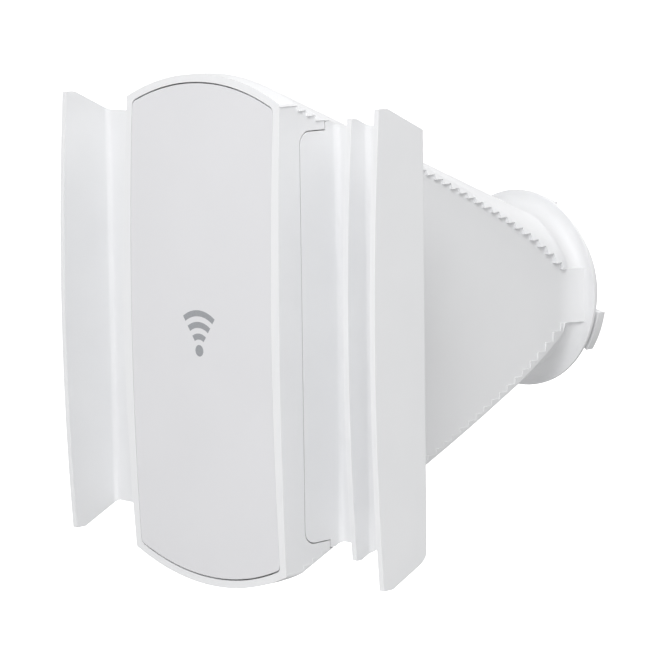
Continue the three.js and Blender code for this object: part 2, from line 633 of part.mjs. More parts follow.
// Collar: spigot into the rear flange, neck that the ring's rib runs on, notched head.
function rearCollar() {
  const neckFront = FLANGE_REAR + CLEAR;
  const grooveInner = SEAL_CIRCLE - SEAL_RADIUS - CLEAR;
  const grooveOuter = SEAL_CIRCLE + SEAL_RADIUS + CLEAR;
  let collar = turned([
    [GUIDE_OUTER + CLEAR, neckFront - COLLAR_SPIGOT],
    [REAR_HOLE_RADIUS - CLEAR, neckFront - COLLAR_SPIGOT],
    [REAR_HOLE_RADIUS - CLEAR, neckFront],
    [COLLAR_NECK_RADIUS, neckFront],
    [COLLAR_NECK_RADIUS, DEPTH - COLLAR_HEAD],
    [COLLAR_HEAD_RADIUS, DEPTH - COLLAR_HEAD],
    [COLLAR_HEAD_RADIUS, DEPTH],
    [grooveOuter, DEPTH],
    [grooveOuter, DEPTH - SEAL_GROOVE],
    [grooveInner, DEPTH - SEAL_GROOVE],
    [grooveInner, DEPTH],
    [GUIDE_OUTER + CLEAR, DEPTH],
  ], RING_FACETS);
  for (const angle of HOOK_ANGLES) {
    const [from, to] = [angle - NOTCH_SPAN / 2, angle + NOTCH_SPAN / 2];
    collar = collar.subtract(sector(
      HOOK_REACH - RING_CLEAR, FLANGE_RADIUS, from, to, DEPTH - COLLAR_HEAD, DEPTH + PAST));
  }
  for (const angle of COLLAR_SCREW_ANGLES) {
    const [x, z] = onCircle(COLLAR_SCREW_CIRCLE, angle);
    collar = collar.subtract(rodY(x, z, SCREW_RADIUS + CLEAR, neckFront - PAST, DEPTH + PAST))
      .subtract(rodY(x, z, SCREW_HEAD_RADIUS + CLEAR, DEPTH - SCREW_HEAD - CLEAR, DEPTH + PAST));
  }
  for (const angle of PIN_ANGLES) {
    const [x, z] = onCircle(COLLAR_SCREW_CIRCLE, angle);
    collar = collar.subtract(rodY(x, z, PIN_RADIUS + CLEAR, DEPTH - PIN_DEPTH, DEPTH + PAST));
  }
  return collar;
}

function collarScrew(angle) {
  const [x, z] = onCircle(COLLAR_SCREW_CIRCLE, angle);
  const seat = DEPTH - SCREW_HEAD;
  return rodY(x, z, SCREW_HEAD_RADIUS, seat, DEPTH)
    .add(rodY(x, z, SCREW_RADIUS, REAR_WEB_FRONT + CLEAR, seat + PAST));
}

function alignmentPin(angle) {
  const [x, z] = onCircle(COLLAR_SCREW_CIRCLE, angle);
  return rodY(x, z, PIN_RADIUS, DEPTH - PIN_DEPTH + CLEAR, DEPTH + PIN_PROUD);
}

function rearSeal() {
  const SECTION_SIDES = 6;
  const geometry = new THREE.TorusGeometry(SEAL_CIRCLE, SEAL_RADIUS, SECTION_SIDES, RING_FACETS);
  geometry.rotateX(Math.PI / 2);
  geometry.translate(0, yAt(DEPTH - SEAL_GROOVE + CLEAR + SEAL_RADIUS), 0);
  return solid(geometry);
}

// Lock ring: a thin ring with an inner rib, three grip lugs and three inward hooks.
function lockRing() {
  const bore = COLLAR_HEAD_RADIUS + RING_CLEAR;
  const ribBore = COLLAR_NECK_RADIUS + RING_CLEAR;
  const joinRadius = (bore + RING_REAR_RADIUS) / 2;
  let ring = turned([
    [ribBore, RING_FRONT],
    [RING_RADIUS, RING_FRONT],
    [RING_RADIUS, RING_LUG_END],
    [RING_REAR_RADIUS, RING_LUG_END],
    [RING_REAR_RADIUS, RING_REAR],
    [bore, RING_REAR],
    [bore, RING_FRONT + RING_RIB],
    [ribBore, RING_FRONT + RING_RIB],
  ], RING_FACETS);
  for (const { from, to, radius } of LUGS) {
    ring = ring.add(sector(joinRadius, radius, from, to, RING_FRONT, RING_LUG_END));
  }
  for (const angle of HOOK_ANGLES) {
    const [from, to] = [angle - HOOK_SPAN / 2, angle + HOOK_SPAN / 2];
    ring = ring.add(sector(HOOK_REACH, joinRadius, from, to, RING_REAR - HOOK_DEPTH, RING_REAR));
  }
  return ring;
}

// Flat washer bent into waves, between the rear flange and the lock ring.
function waveWasher() {
  const middle = (FLANGE_REAR + RING_FRONT) / 2;
  const inner = COLLAR_NECK_RADIUS + RING_CLEAR;
  const outer = COLLAR_HEAD_RADIUS + RING_CLEAR;
  const half = WASHER_THICKNESS / 2;
  const points = [[inner, -half], [outer, -half], [outer, half], [inner, half], [inner, -half]]
    .map(([radius, offset]) => new THREE.Vector2(radius, yAt(middle + offset)));
  const geometry = new THREE.LatheGeometry(points, RING_FACETS);
  const place = geometry.attributes.position;
  for (let i = 0; i < place.count; i += 1) {
    const angle = Math.atan2(place.getZ(i), place.getX(i));
    place.setY(i, place.getY(i) + WASHER_LIFT * Math.cos(WASHER_WAVES * angle));
  }
  return solid(geometry);
}

// ----------------------------------------------------------------- assembly

const finish = (color, roughness, metalness) => () => new THREE.MeshStandardMaterial(
  { color, roughness, metalness, flatShading: true });

const whitePlastic = finish(0xeef0f1, 0.45, 0);
const whiteCover = finish(0xe9ebed, 0.38, 0);
const castAluminium = finish(0xc3c6c9, 0.42, 0.9);
const stainless = finish(0xb9bcc0, 0.28, 1);
const blackRubber = finish(0x1c1d1f, 0.85, 0);
const greyPlastic = finish(0x8c9196, 0.6, 0);

const antenna = new THREE.Group();

function addPiece(name, body, material) {
  const { vertProperties, triVerts } = body.getMesh();
  const geometry = new THREE.BufferGeometry();
  geometry.setAttribute('position', new THREE.BufferAttribute(new Float32Array(vertProperties), 3));
  geometry.setIndex(new THREE.BufferAttribute(new Uint32Array(triVerts), 1));
  geometry.computeVertexNormals();
  const mesh = new THREE.Mesh(geometry, material());
  mesh.name = name;
  antenna.add(mesh);
}

addPiece('horn_shell', hornShell(), whitePlastic);
addPiece('radome_cover', radomeCover(), whiteCover);
addPiece('radome_gasket', radomeGasket(), blackRubber);
addPiece('vent_plug', ventPlug(), greyPlastic);

const rightFlange = chokeFlange();
addPiece('choke_flange_right', rightFlange, whitePlastic);
addPiece('choke_flange_left', mirrored(rightFlange), whitePlastic);
CHOKE_SCREW_Z.forEach((z, i) => {
  const screw = chokeScrew(z);
  addPiece(`choke_screw_right_${i + 1}`, screw, stainless);
  addPiece(`choke_screw_left_${i + 1}`, mirrored(screw), stainless);
});

addPiece('horn_funnel', hornFunnel(), castAluminium);
FUNNEL_SCREWS.forEach((place, i) => addPiece(`funnel_screw_${i + 1}`, funnelScrew(place), stainless));
addPiece('throat_waveguide', throatWaveguide(), castAluminium);
GUIDE_SCREW_ANGLES.forEach((angle, i) => {
  addPiece(`waveguide_screw_${i + 1}`, guideScrew(angle), stainless);
});

addPiece('rear_collar', rearCollar(), whitePlastic);
COLLAR_SCREW_ANGLES.forEach((angle, i) => addPiece(`collar_screw_${i + 1}`, collarScrew(angle), stainless));
PIN_ANGLES.forEach((angle, i) => addPiece(`alignment_pin_${i + 1}`, alignmentPin(angle), stainless));
addPiece('rear_seal', rearSeal(), blackRubber);
addPiece('wave_washer', waveWasher(), stainless);
addPiece('lock_ring', lockRing(), whitePlastic);

export default antenna;
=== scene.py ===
import math

import bmesh
import bpy
from mathutils import Matrix, Vector


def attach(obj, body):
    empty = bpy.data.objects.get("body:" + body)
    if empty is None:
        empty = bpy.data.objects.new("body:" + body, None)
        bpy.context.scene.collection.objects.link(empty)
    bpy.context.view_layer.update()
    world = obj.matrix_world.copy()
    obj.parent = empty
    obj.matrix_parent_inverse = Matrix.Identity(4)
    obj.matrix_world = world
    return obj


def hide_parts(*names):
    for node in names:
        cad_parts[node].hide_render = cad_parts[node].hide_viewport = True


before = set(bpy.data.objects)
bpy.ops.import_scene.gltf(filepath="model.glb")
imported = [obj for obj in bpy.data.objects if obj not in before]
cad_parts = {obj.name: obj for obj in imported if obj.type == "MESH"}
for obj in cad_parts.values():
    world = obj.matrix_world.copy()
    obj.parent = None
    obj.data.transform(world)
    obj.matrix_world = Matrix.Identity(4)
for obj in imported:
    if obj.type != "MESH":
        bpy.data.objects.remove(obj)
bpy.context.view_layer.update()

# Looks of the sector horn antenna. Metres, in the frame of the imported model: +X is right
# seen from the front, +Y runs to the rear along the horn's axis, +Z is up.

# ------------------------------------------------------------ driving dimensions (mm)

DEPTH = 217.0            # radio face to the front corners of the outer fins
FAR = 150.0              # outside everything
AHEAD = -25.0            # in front of everything
MM = 0.001

RIM_RADIUS = 119.3
CONE_APEX_RADIUS = 120.3
CONE_SLOPE = 0.3906
WALL = 3.2
CROWN = 3.3
CORNER_Z = 106.0
RIM_CORNER = -7.1
RIM_HALF = 51.8
SIDE_BULGE = 1.3         # how far the rim's sides swell between the corners
BODY_HALF = 39.0
BLOCK_END = 31.5
BORE_RADIUS = 107.0
BORE_HALF = 40.0
STEP = 5.65
FIRST_STEP = 3.9
RIM_STEPS = 4            # steps in the rim's side, the others are in the body's
LAST_STEP = 34
STEP_INSET = 1.1
RIM_STEP_INSET = 0.5
UPPER_LIP_SLOPE = 0.5    # outwards for each millimetre down, of the lip over a flat side
LOWER_LIP_SLOPE = 0.13
LIP_RISE = 5.0
SIDE_LIP_FALL = 14.0
RIM_LIP_FALL = 8.0
LIP_END = 198.0
LIP_ROWS = 40
LAST_STEP_Z = 13.6
RAMP_START = 195.2        # from here the flat side curves out to the rear flange
RAMP_RADIUS = 20.0
RAMP_END = 208.2
FLANGE_RADIUS = 50.0
FLANGE_FRONT = 209.3
FLANGE_REAR = 211.3
FLARE_RADIUS = 6.25
WEB_FRONT = 206.0
REAR_HOLE = 30.0
COVER_RADIUS = 115.0
COVER_HALF = 47.7
COVER_CORNER = 3.4
COVER_THICKNESS = 3.0
COVER_GAP = 0.7
COVER_SIDE_GAP = 0.25
PLATE_FRONT = 5.3
PLATE_Z = 94.2
PLATE_TALL_Z = 98.0
PLATE_CORNER = 6.0
PLATE_STEP = 21.3
PLATE_GAP = 0.55
PLATE_THICKNESS = 3.0

PLATE_CROWN = 0.95
LEDGE_DEPTH = 4.4
CLEAR = 0.3
VENT_BEHIND = 12.0
VENT_RADIUS = 2.6
VENT_HEAD_RADIUS = 4.2
VENT_HEAD = 1.9
VENT_HEAD_Z = 112.4
VENT_BORE = 0.8
VENT_HOLES = 6
VENT_HOLE_CIRCLE = 2.6
VENT_HOLE_RADIUS = 0.45
COVER_EDGE = 0.4
COVER_SET = 0.05         # the cover sits this far behind the rim
BODY_SEGMENTS = 256
RING_SEGMENTS = 240
SEAL_SEGMENTS = 192

FIN = 3.0
OUTER_FIN_X = 107.3
OUTER_FIN_Z = 107.0
OUTER_FIN_CROWN = 4.1
INNER_FIN_X = 74.2
INNER_FIN_Z = 100.5
INNER_FIN_FRONT = 16.1
INNER_FIN_CROWN = 3.8
OUTER_FLOOR = 25.9
OUTER_FLOOR_THICK = 2.3
INNER_FLOOR = 28.4
END_SLOPE = 0.4747
END_Z = 96.9
END_BEHIND = 26.9
OUTER_FIN_CORNER = 9.0
UPPER_ROUND = 2.0
FLOOR_FILLET = 2.8
REAR_ROUND = 1.2
CHOKE_SCREW_Z = (-70.0, 0.0, 70.0)
CHOKE_SCREW_BEHIND = 17.0
CHOKE_BOSS_START = 43.0
CHOKE_BOSS_RADIUS = 3.5

MARK_X = -0.6
MARK_Z = -8.0
MARK_PROUD = 0.04
MARK_DOT = 2.7
MARK_ARCS = (6.6, 12.0, 17.4)
MARK_STROKE = 2.8
MARK_SPAN = (55, 125)

GUIDE_RADIUS = 22.0
GUIDE_OUTER = 24.5
GUIDE_FLANGE_RADIUS = 33.0
GUIDE_FLANGE = 3.0
GUIDE_START = 186.3
GUIDE_SCREW_CIRCLE = 29.0
GUIDE_SCREW_ANGLES = (45, 135, 225, 315)
COLLAR_NECK_RADIUS = 38.7
COLLAR_HEAD_RADIUS = 41.2
COLLAR_HEAD = 1.9
COLLAR_SPIGOT = 4.0
COLLAR_SCREW_CIRCLE = 34.2
COLLAR_SCREW_ANGLES = (62, 182, 302)
SCREW_RADIUS = 1.5
SCREW_HEAD_RADIUS = 3.0
SCREW_HEAD = 2.2
SCREW_SUNK = 0.2
PIN_ANGLES = (32, 212)
PIN_RADIUS = 1.5
PIN_DEPTH = 4.0
PIN_PROUD = 1.6
SEAL_CIRCLE = 28.4
SEAL_RADIUS = 1.3
SEAL_GROOVE = 2.0
RING_FRONT = 213.3
RING_RADIUS = 43.2
RING_REAR_RADIUS = 42.3
RING_RIB = 1.5
RING_CLEAR = 0.4
RING_LUG_END = 218.2
RING_REAR = 220.6
HOOK_DEPTH = 1.4
HOOK_REACH = 37.6
HOOK_ANGLES = (90, 210, 330)
HOOK_SPAN = 28.0
NOTCH_SPAN = 36.0
LUGS = ((68, 112, 47.4), (-35, -10.5, 50.2), (190.5, 215, 50.2))
LUG_FILLET = 1.6
WASHER_WAVES = 3
WASHER_LIFT = 0.35
WASHER_THICKNESS = 0.5

# Camera and studio (metres, degrees)
CAMERA_AZIMUTH = 45.5785
CAMERA_ELEVATION = 8.0
CAMERA_ROLL = -0.7530
CAMERA_LENS = 170.67
CAMERA_DISTANCE = 1.45355
CAMERA_SIDE = 0.05303
CAMERA_RISE = 0.00014
CAMERA_PIVOT = (0.0, -0.217, 0.0)
FLOOR_Z = -0.35
COVE_RADIUS = 9.0
COVE_SWEEP = 3.0
COVE_HEIGHT = 12.0
COVE_GLOW = 1.0
ROOM_LEVEL = 0.552
ROOM_LEAN = (-0.088, 0.011, 0.046)
ROOM_COLOUR = (1.0, 1.0, 1.0, 1.0)
LIGHT_AIM = (0.0, -0.15, 0.0)
LIGHTS = (
    # name, place, size, power
    ("front_soft", (0.0, -2.2, 0.2), 1.0, 3.7),
    ("front_right", (0.9, -1.9, 0.3), 1.0, 2.7),
    ("upper_front_right", (1.0, -1.3, 1.2), 0.8, 17.8),
    ("upper_right", (1.4, -0.1, 1.3), 1.0, 1.9),
    ("upper_rear", (0.1, 1.4, 1.4), 1.0, 14.2),
    ("low_right", (1.2, -0.9, -0.9), 0.8, 2.2),
)


def cone_radius(behind):
    return CONE_APEX_RADIUS - CONE_SLOPE * behind


def place(x, behind, z):
    """A point given in millimetres, with its distance behind the outer fins' front corners."""
    return Vector((x * MM, (behind - DEPTH) * MM, z * MM))


# ---------------------------------------------------------------------- mesh helpers


def new_object(name, verts, faces):
    mesh = bpy.data.meshes.new(name)
    mesh.from_pydata([tuple(v) for v in verts], [], faces)
    mesh.validate()
    obj = bpy.data.objects.new(name, mesh)
    bpy.context.scene.collection.objects.link(obj)
    return obj


def face_outward(obj):
    bm = bmesh.new()
    bm.from_mesh(obj.data)
    bmesh.ops.remove_doubles(bm, verts=bm.verts, dist=1e-7)
    bmesh.ops.recalc_face_normals(bm, faces=bm.faces)
    bm.to_mesh(obj.data)
    bm.free()
    return obj


def prism(name, ring0, ring1):
    """Solid between two matching rings of points."""
    count = len(ring0)
    faces = [tuple(range(count)), tuple(range(2 * count - 1, count - 1, -1))]
    faces += [(i, i + count, (i + 1) % count + count, (i + 1) % count) for i in range(count)]
    return face_outward(new_object(name, list(ring0) + list(ring1), faces))


def lofted(name, rings):
    """Solid through a row of matching rings of points."""
    count = len(rings[0])
    verts = [point for ring in rings for point in ring]
    last = (len(rings) - 1) * count
    faces = [tuple(range(count)), tuple(range(last + count - 1, last - 1, -1))]
    for r in range(len(rings) - 1):
        a = r * count
        faces += [(a + i, a + i + count, a + (i + 1) % count + count, a + (i + 1) % count)
                  for i in range(count)]
    return face_outward(new_object(name, verts, faces))


def side_slab(outline, x0, x1):
    return prism("slab", [place(x0, a, z) for a, z in outline], [place(x1, a, z) for a, z in outline])


def front_slab(outline, a0, a1):
    return prism("slab", [place(x, a0, z) for x, z in outline], [place(x, a1, z) for x, z in outline])


def plan_slab(outline, z0, z1):
    return prism("slab", [place(x, a, z0) for x, a in outline], [place(x, a, z1) for x, a in outline])


def block(x0, x1, a0, a1, z0, z1):
    return side_slab([(a0, z0), (a1, z0), (a1, z1), (a0, z1)], x0, x1)


def turned(profile, segments):
    """Solid turned about the horn's axis; a profile that starts on the axis also ends on it."""
    verts = []
    faces = []
    count = len(profile)
    for i in range(segments):
        angle = 2 * math.pi * i / segments
        for radius, behind in profile:
            verts.append(place(radius * math.cos(angle), behind, radius * math.sin(angle)))
    closed = profile[0][0] > 0
    for i in range(segments):
        j = (i + 1) % segments
        for k in range(count if closed else count - 1):
            m = (k + 1) % count
            faces.append((i * count + k, i * count + m, j * count + m, j * count + k))
    return face_outward(new_object("turned", verts, faces))


def rod(start, end, radius, segments=32):
    """Cylinder between two points in millimetres."""
    p0 = place(*start)
    p1 = place(*end)
    turn = (p1 - p0).to_track_quat("Z", "Y")
    rings = []
    for p in (p0, p1):
        ring = []
        for i in range(segments):
            angle = 2 * math.pi * i / segments
            spoke = Vector((radius * MM * math.cos(angle), radius * MM * math.sin(angle), 0))
            ring.append(p + turn @ spoke)
        rings.append(ring)
    return prism("rod", *rings)


def sector(inner, outer, from_deg, to_deg, a0, a1, step_deg=2.0):
    count = max(2, math.ceil((to_deg - from_deg) / step_deg))
    angles = [math.radians(from_deg + (to_deg - from_deg) * i / count) for i in range(count + 1)]
    outline = [(outer * math.cos(t), outer * math.sin(t)) for t in angles]
    outline += [(inner * math.cos(t), inner * math.sin(t)) for t in reversed(angles)]
    return front_slab(outline, a0, a1)


def delete(obj):
    mesh = obj.data
    bpy.data.objects.remove(obj)
    bpy.data.meshes.remove(mesh)


def bake_modifiers(obj):
    bpy.context.view_layer.update()
    graph = bpy.context.evaluated_depsgraph_get()
    baked = bpy.data.meshes.new_from_object(obj.evaluated_get(graph))
    old = obj.data
    obj.modifiers.clear()
    obj.data = baked
    bpy.data.meshes.remove(old)
    return obj


def combine(obj, other, operation):
    """Boolean of obj with other, which is used up."""
    mod = obj.modifiers.new("combine", "BOOLEAN")
    mod.operation = operation
    mod.solver = "MANIFOLD"
    mod.object = other
    bake_modifiers(obj)
    delete(other)
    return obj


def cut(obj, other):
    return combine(obj, other, "DIFFERENCE")


def join(obj, other):
    return combine(obj, other, "UNION")


def common(obj, other):
    return combine(obj, other, "INTERSECT")


def mirror_x(obj):
    twin = obj.copy()
    twin.data = obj.data.copy()
    bpy.context.scene.collection.objects.link(twin)
    twin.data.transform(Matrix.Scale(-1, 4, Vector((1, 0, 0))))
    twin.data.flip_normals()
    return twin


def merge_flat(obj, angle_deg=0.05):
    """Joins coplanar faces, so that bevels see only real edges."""
    bm = bmesh.new()
    bm.from_mesh(obj.data)
    bmesh.ops.remove_doubles(bm, verts=bm.verts, dist=2e-6)
    bmesh.ops.dissolve_degenerate(bm, edges=bm.edges, dist=2e-6)
    bmesh.ops.dissolve_limit(bm, angle_limit=math.radians(angle_deg), verts=bm.verts, edges=bm.edges)
    bm.to_mesh(obj.data)
    bm.free()
    return obj


def round_edges(obj, width_of, segments=3, min_angle_deg=28):
    """Bevels each edge sharper than min_angle by width_of(edge, concave) in millimetres."""
    bm = bmesh.new()
    bm.from_mesh(obj.data)
    layer = bm.edges.layers.float.new("bevel_weight_edge")
    widest = 0.0
    widths = {}
    for edge in bm.edges:
        if len(edge.link_faces) != 2:
            continue
        if edge.calc_face_angle(0.0) < math.radians(min_angle_deg):
            continue
        width = width_of(edge, edge.calc_face_angle_signed(0.0) < 0)
        widths[edge.index] = width
        widest = max(widest, width)
    for edge in bm.edges:
        edge[layer] = widths.get(edge.index, 0.0) / widest if widest else 0.0
    bm.to_mesh(obj.data)
    bm.free()
    mod = obj.modifiers.new("edges", "BEVEL")
    mod.limit_method = "WEIGHT"
    mod.width = widest * MM
    mod.segments = segments
    mod.use_clamp_overlap = True
    mod.loop_slide = True
    mod.miter_outer = "MITER_SHARP"
    mod.harden_normals = False
    return bake_modifiers(obj)


def shade(obj, angle_deg=30):
    obj.data.shade_smooth()
    obj.data.set_sharp_from_angle(angle=math.radians(angle_deg))
    mod = obj.modifiers.new("normals", "WEIGHTED_NORMAL")
    mod.keep_sharp = True
    mod.weight = 80
    return obj


# ------------------------------------------------------------------------- outlines


def mouth_outline(radius, half, corner, corner_points=8, arc_points=28):
    """Circle cut off flat at both sides, with rounded corners."""
    reach = radius - corner
    cx = half - corner
    cz = math.sqrt(reach ** 2 - cx ** 2)
    lean = math.atan2(cz, cx)
    quarter = []
    for i in range(corner_points + 1):
        t = lean * i / corner_points
        quarter.append((cx + corner * math.cos(t), cz + corner * math.sin(t)))
    for i in range(1, arc_points + 1):
        t = lean + (math.pi / 2 - lean) * i / arc_points
        quarter.append((radius * math.cos(t), radius * math.sin(t)))
    top = quarter + [(-x, z) for x, z in reversed(quarter[:-1])]
    return top + [(-x, -z) for x, z in top]


def crowned_layer(depth0, depth1, rows=48):
    """Side view of a layer between two depths under the crowned front."""
    reach = 124.0
    heights = [-reach + 2 * reach * i / rows for i in range(rows + 1)]

    def edge(z, depth):
        return (RIM_CORNER - CROWN + CROWN * (z / CORNER_Z) ** 2 + depth, z)

    outline = [edge(z, depth1) for z in heights] + [edge(z, depth0) for z in reversed(heights)]
    return side_slab(outline, -FAR, FAR)


def body_profile():
    lean = math.atan(CONE_SLOPE)
    start = FLANGE_FRONT - FLARE_RADIUS * (1 + math.sin(lean))
    centre_radius = cone_radius(start) + FLARE_RADIUS * math.cos(lean)
    centre = FLANGE_FRONT - FLARE_RADIUS
    points = 18
    flare = []
    for i in range(points + 1):
        t = -lean + (math.pi / 2 + lean) * i / points
        flare.append((centre_radius - FLARE_RADIUS * math.cos(t), centre + FLARE_RADIUS * math.sin(t)))
    edge = 0.45
    shoulder = (CONE_APEX_RADIUS - RIM_RADIUS) / CONE_SLOPE
    return [
        (0, -20), (RIM_RADIUS, -20), (RIM_RADIUS, shoulder - 1.5),
        (RIM_RADIUS - 0.1, shoulder + 0.4), (cone_radius(shoulder + 2.2), shoulder + 2.2),
        *flare,
        (FLANGE_RADIUS - edge, FLANGE_FRONT),
        (FLANGE_RADIUS - 0.3 * edge, FLANGE_FRONT + 0.3 * edge),
        (FLANGE_RADIUS, FLANGE_FRONT + edge),
        (FLANGE_RADIUS, FLANGE_REAR - edge),
        (FLANGE_RADIUS - 0.3 * edge, FLANGE_REAR - 0.3 * edge),
        (FLANGE_RADIUS - edge, FLANGE_REAR),
        (0, FLANGE_REAR),
    ]


def edge_height(behind, half, inset):
    return math.sqrt((cone_radius(behind) - inset) ** 2 - half ** 2)


def stepped_outline(first, last, half, inset, start, tail):
    upper = []
    for i in range(first, last):
        end = FIRST_STEP + STEP * i
        height = edge_height(end, half, inset)
        upper += [(start, height), (end, height)]
        start = end
    upper += [(start, tail[0][1])] + tail if tail else []
    return [(a, -z) for a, z in upper] + list(reversed(upper))


# ---------------------------------------------------------------------- horn body


def bulged_side(x, z):
    """The rim's sides swell outwards between its corners."""
    return x + SIDE_BULGE * (1 - min(1.0, abs(z) / CORNER_Z) ** 2)


def outside_bulge(rows=48):
    """Slab along Y outside the swelling right side."""
    reach = CORNER_Z + 20
    heights = [-reach + 2 * reach * i / rows for i in range(rows + 1)]
    outline = [(bulged_side(RIM_HALF, z), z) for z in heights] + [(FAR, reach), (FAR, -reach)]
    return front_slab(outline, -30, DEPTH)


def ramp_curve(points=16):
    """Plan of the ramp, from the flat side to the front of the rear flange."""
    end = math.asin((RAMP_END - RAMP_START) / RAMP_RADIUS)
    turns = [end * i / points for i in range(points + 1)]
    return [(BODY_HALF + RAMP_RADIUS * (1 - math.cos(t)), RAMP_START + RAMP_RADIUS * math.sin(t))
            for t in turns]


def body_side_cut():
    tail = [(RAMP_END, LAST_STEP_Z)]
    outline = stepped_outline(RIM_STEPS + 1, LAST_STEP + 1, BODY_HALF, STEP_INSET, BLOCK_END, tail)
    steps = side_slab(outline, BODY_HALF - 1, FAR)
    curve = ramp_curve()
    plan = [(BODY_HALF, BLOCK_END - 1), (FAR, BLOCK_END - 1), (FAR, RAMP_END), *reversed(curve)]
    return common(steps, plan_slab(plan, -FAR, FAR))


def neck_ramp():
    """Material between the flat side's rear end and the rear flange, as high as the last step."""
    plan = [(BODY_HALF - 1, FLANGE_FRONT + 1), (BODY_HALF - 1, RAMP_START), *ramp_curve()]
    plan.append((plan[-1][0], FLANGE_FRONT + 1))
    return plan_slab(plan, -LAST_STEP_Z, LAST_STEP_Z)


def lip_cut(half, stations, fall):
    """What lies outside the sloping lip that the cone forms over a flat side, above and below."""
    cutter = None
    for sign, slope in ((1, UPPER_LIP_SLOPE), (-1, LOWER_LIP_SLOPE)):
        rings = []
        for behind in stations:
            radius = min(RIM_RADIUS, cone_radius(behind))
            top = math.sqrt(radius ** 2 - half ** 2)
            high, low = top + LIP_RISE, top - fall
            rings.append([place(half - slope * LIP_RISE, behind, sign * high),
                          place(half + slope * fall, behind, sign * low),
                          place(FAR, behind, sign * low), place(FAR, behind, sign * high)])
        part = lofted("lip", rings)
        cutter = join(cutter, part) if cutter else part
    return cutter


def body_hollow():
    bore_end = (CONE_APEX_RADIUS - WALL - BORE_RADIUS) / CONE_SLOPE
    tail = FLANGE_FRONT - 2 * FLARE_RADIUS
    cone = turned([
        (0, -20), (BORE_RADIUS, -20), (BORE_RADIUS, bore_end),
        (cone_radius(tail) - WALL, tail), (cone_radius(tail) - WALL, WEB_FRONT), (0, WEB_FRONT),
    ], 96)
    inner = BODY_HALF - WALL
    sides = join(block(-BORE_HALF, BORE_HALF, -21, BLOCK_END - WALL, -FAR, FAR),
                 block(-inner, inner, -21.5, WEB_FRONT + 1, -FAR - 1, FAR + 1))
    return common(cone, sides)


def make_horn_body():
    body = turned(body_profile(), BODY_SEGMENTS)
    common(body, crowned_layer(0, 2 * DEPTH))
    rim_steps = stepped_outline(0, RIM_STEPS, RIM_HALF, RIM_STEP_INSET, AHEAD, [])
    rim_cut = common(side_slab(rim_steps, RIM_HALF - 1, FAR + 1), outside_bulge())
    recess = side_slab(crowned_plate_outline(PLATE_GAP, lambda tall: [(BLOCK_END + 1, tall)]),
                       RIM_HALF - PLATE_THICKNESS - CLEAR, FAR + 2)
    rim_lip = lip_cut(RIM_HALF, (-30, 2.6, 12, 22, BLOCK_END), RIM_LIP_FALL)
    length = LIP_END - BLOCK_END
    side_lip = lip_cut(BODY_HALF, [BLOCK_END + length * i / LIP_ROWS for i in range(LIP_ROWS + 1)],
                       SIDE_LIP_FALL)
    rear = neck_ramp()
    join(body, mirror_x(rear))
    join(body, rear)
    for cutter in (body_side_cut(), rim_cut, rim_lip, side_lip, recess):
        cut(body, mirror_x(cutter))
        cut(body, cutter)
    mouth = mouth_outline(COVER_RADIUS + COVER_GAP, COVER_HALF + COVER_SIDE_GAP,
                          COVER_CORNER + COVER_SIDE_GAP)
    cut(body, common(front_slab(mouth, AHEAD, 10), crowned_layer(AHEAD, LEDGE_DEPTH)))
    cut(body, body_hollow())
    cut(body, rod((0, WEB_FRONT - 2, 0), (0, FLANGE_REAR + 2, 0), REAR_HOLE, 96))
    cut(body, rod((0, VENT_BEHIND, -FAR), (0, VENT_BEHIND, -VENT_HEAD_Z), VENT_HEAD_RADIUS + 0.3, 48))
    merge_flat(body)

    def width(edge, concave):
        behind = min(v.co.y for v in edge.verts) / MM + DEPTH
        inside = max(abs(v.co.x) for v in edge.verts) < BODY_HALF * MM - 1e-5
        outer = max(math.hypot(v.co.x, v.co.z) for v in edge.verts) / MM
        if behind > FLANGE_FRONT - 1 or (inside and outer < RIM_RADIUS - 14):
            return 0.0
        if concave:
            return 0.0
        if min(abs(v.co.x) for v in edge.verts) < (COVER_HALF + 1) * MM and outer < COVER_RADIUS + 2:
            return 0.15
        return 0.45 if behind < -4 else 0.2

    round_edges(body, width, segments=2)
    return finish_piece(body, "horn_body", "horn", WHITE_SHELL, ["horn_shell"])


# ------------------------------------------------------------------ choke flanges


def arc(cx, cy, radius, from_deg, to_deg, points=6):
    out = []
    for i in range(points + 1):
        t = math.radians(from_deg + (to_deg - from_deg) * i / points)
        out.append((cx + radius * math.cos(t), cy + radius * math.sin(t)))
    return out


def flange_plan():
    """Section of the right choke flange across its length, as (x, behind)."""
    f = FLOOR_FILLET
    inner_face = INNER_FIN_X - FIN
    outer_face = OUTER_FIN_X - FIN
    front = -12.0
    return [
        (RIM_HALF - FIN, front), (RIM_HALF, front),
        *arc(RIM_HALF + f, INNER_FLOOR - f, f, 180, 90),
        *arc(inner_face - f, INNER_FLOOR - f, f, 90, 0),
        (inner_face, front), (INNER_FIN_X, front),
        *arc(INNER_FIN_X + f, OUTER_FLOOR - f, f, 180, 90),
        *arc(outer_face - f, OUTER_FLOOR - f, f, 90, 0),
        (outer_face, front), (OUTER_FIN_X, front),
        *arc(OUTER_FIN_X - REAR_ROUND, OUTER_FLOOR + OUTER_FLOOR_THICK - REAR_ROUND, REAR_ROUND, 0, 90),
        *arc(INNER_FIN_X + 1, OUTER_FLOOR + OUTER_FLOOR_THICK + 1, 1, -90, -180, 3),
        *arc(INNER_FIN_X - 0.6, INNER_FLOOR + FIN - 0.6, 0.6, 0, 90, 3),
        (RIM_HALF - FIN, INNER_FLOOR + FIN),
    ]


def end_height(behind):
    return END_Z + (END_BEHIND - behind) * END_SLOPE


def end_start(z):
    return END_BEHIND - (z - END_Z) / END_SLOPE


